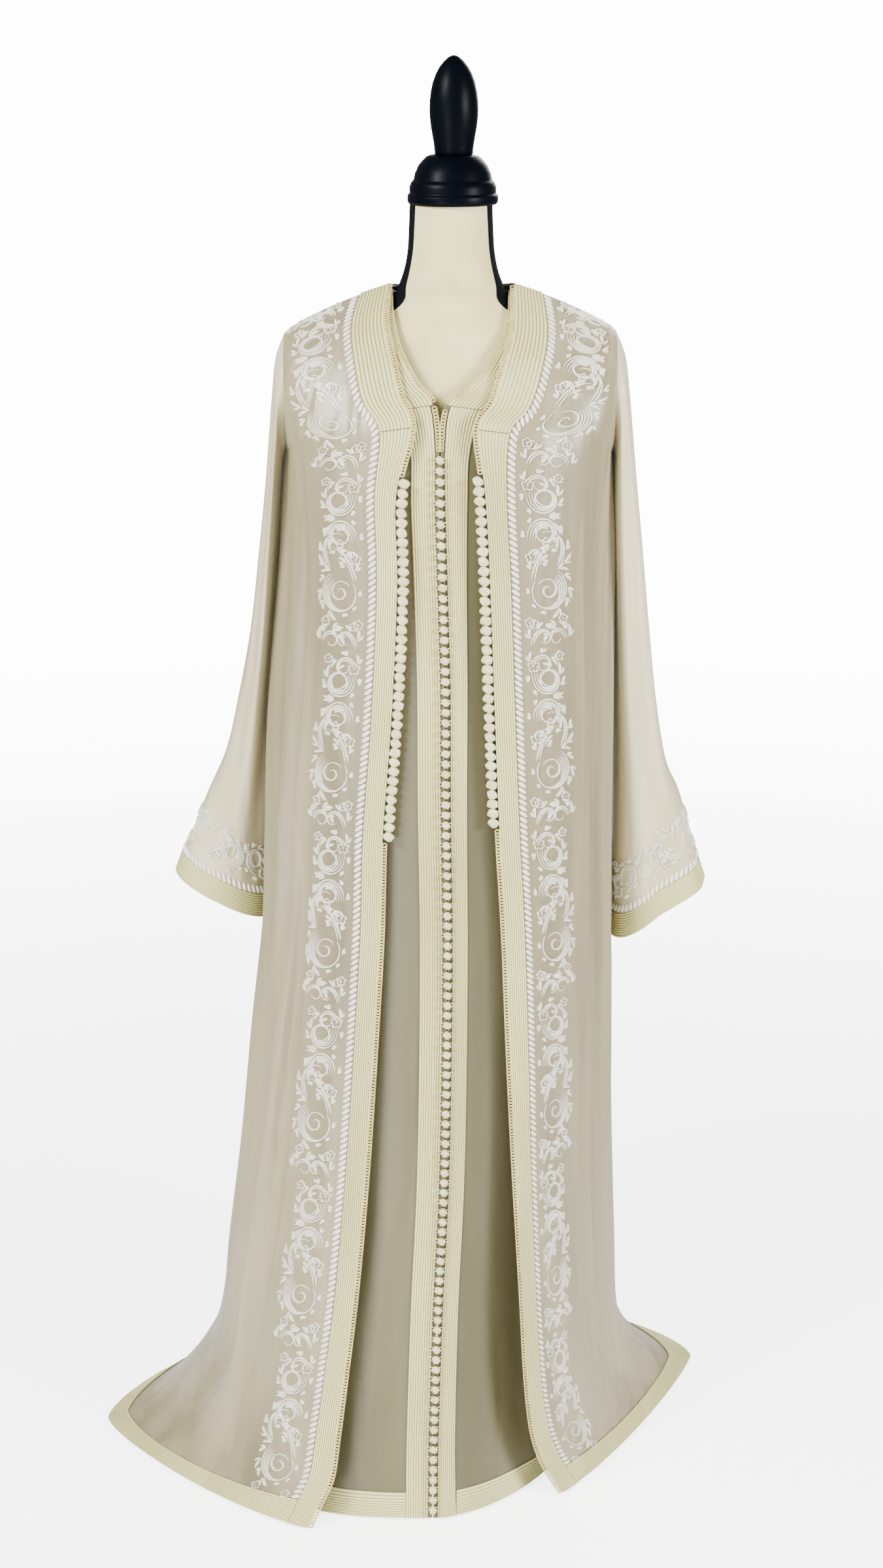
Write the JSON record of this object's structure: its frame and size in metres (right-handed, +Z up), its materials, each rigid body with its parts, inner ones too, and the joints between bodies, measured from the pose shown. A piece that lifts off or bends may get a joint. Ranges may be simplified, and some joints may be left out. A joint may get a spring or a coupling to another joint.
{
  "type": "takchita on a dress form",
  "caption": "Long two-layer robe set with bell sleeves, ribbed bands and knotted buttons, shown on a limbless dress form on a round stand.",
  "frame": {"origin": "centre of the underside of the stand's foot, on the floor", "axes": "+Z up along the form's pole, -Y the front of the garment, +X to the right seen from the front"},
  "size_m": [0.7841, 0.5831, 1.7009],
  "materials": {
    "robe_satin": "satin",
    "dress_satin": "satin",
    "braid": "satin",
    "rope_stitch": "satin",
    "knots": "matte",
    "form_linen": "matte",
    "black_wood": "satin",
    "black_metal": "satin"
  },
  "bodies": {
    "root": {"robe_front_left": "robe_satin", "robe_front_right": "robe_satin", "robe_back": "robe_satin", "robe_sleeve_left": "robe_satin", "robe_sleeve_right": "robe_satin", "dress_front_left": "dress_satin", "dress_front_right": "dress_satin", "dress_back": "dress_satin", "form_body": "form_linen", "form_cap": "black_wood", "form_knob": "black_wood", "stand_foot": "black_metal", "stand_pole": "black_metal", "dress_buttons": "knots", "robe_knots_left": "knots", "robe_knots_right": "knots", "robe_cord_left": "knots", "robe_cord_right": "knots", "robe_front_band_left": "braid", "robe_neck_band_left": "braid", "robe_hem_band_left": "braid", "robe_cuff_band_left": "braid", "dress_front_band_left": "braid", "dress_neck_band_left": "braid", "dress_hem_band_left": "braid", "robe_rope_left": "rope_stitch", "robe_cuff_rope_left": "rope_stitch", "robe_front_band_right": "braid", "robe_neck_band_right": "braid", "robe_hem_band_right": "braid", "robe_cuff_band_right": "braid", "dress_front_band_right": "braid", "dress_neck_band_right": "braid", "dress_hem_band_right": "braid", "robe_rope_right": "rope_stitch", "robe_cuff_rope_right": "rope_stitch", "robe_neck_band_back": "braid", "robe_hem_band_back": "braid", "dress_neck_band_back": "braid", "dress_hem_band_back": "braid"}
  },
  "joints": []
}
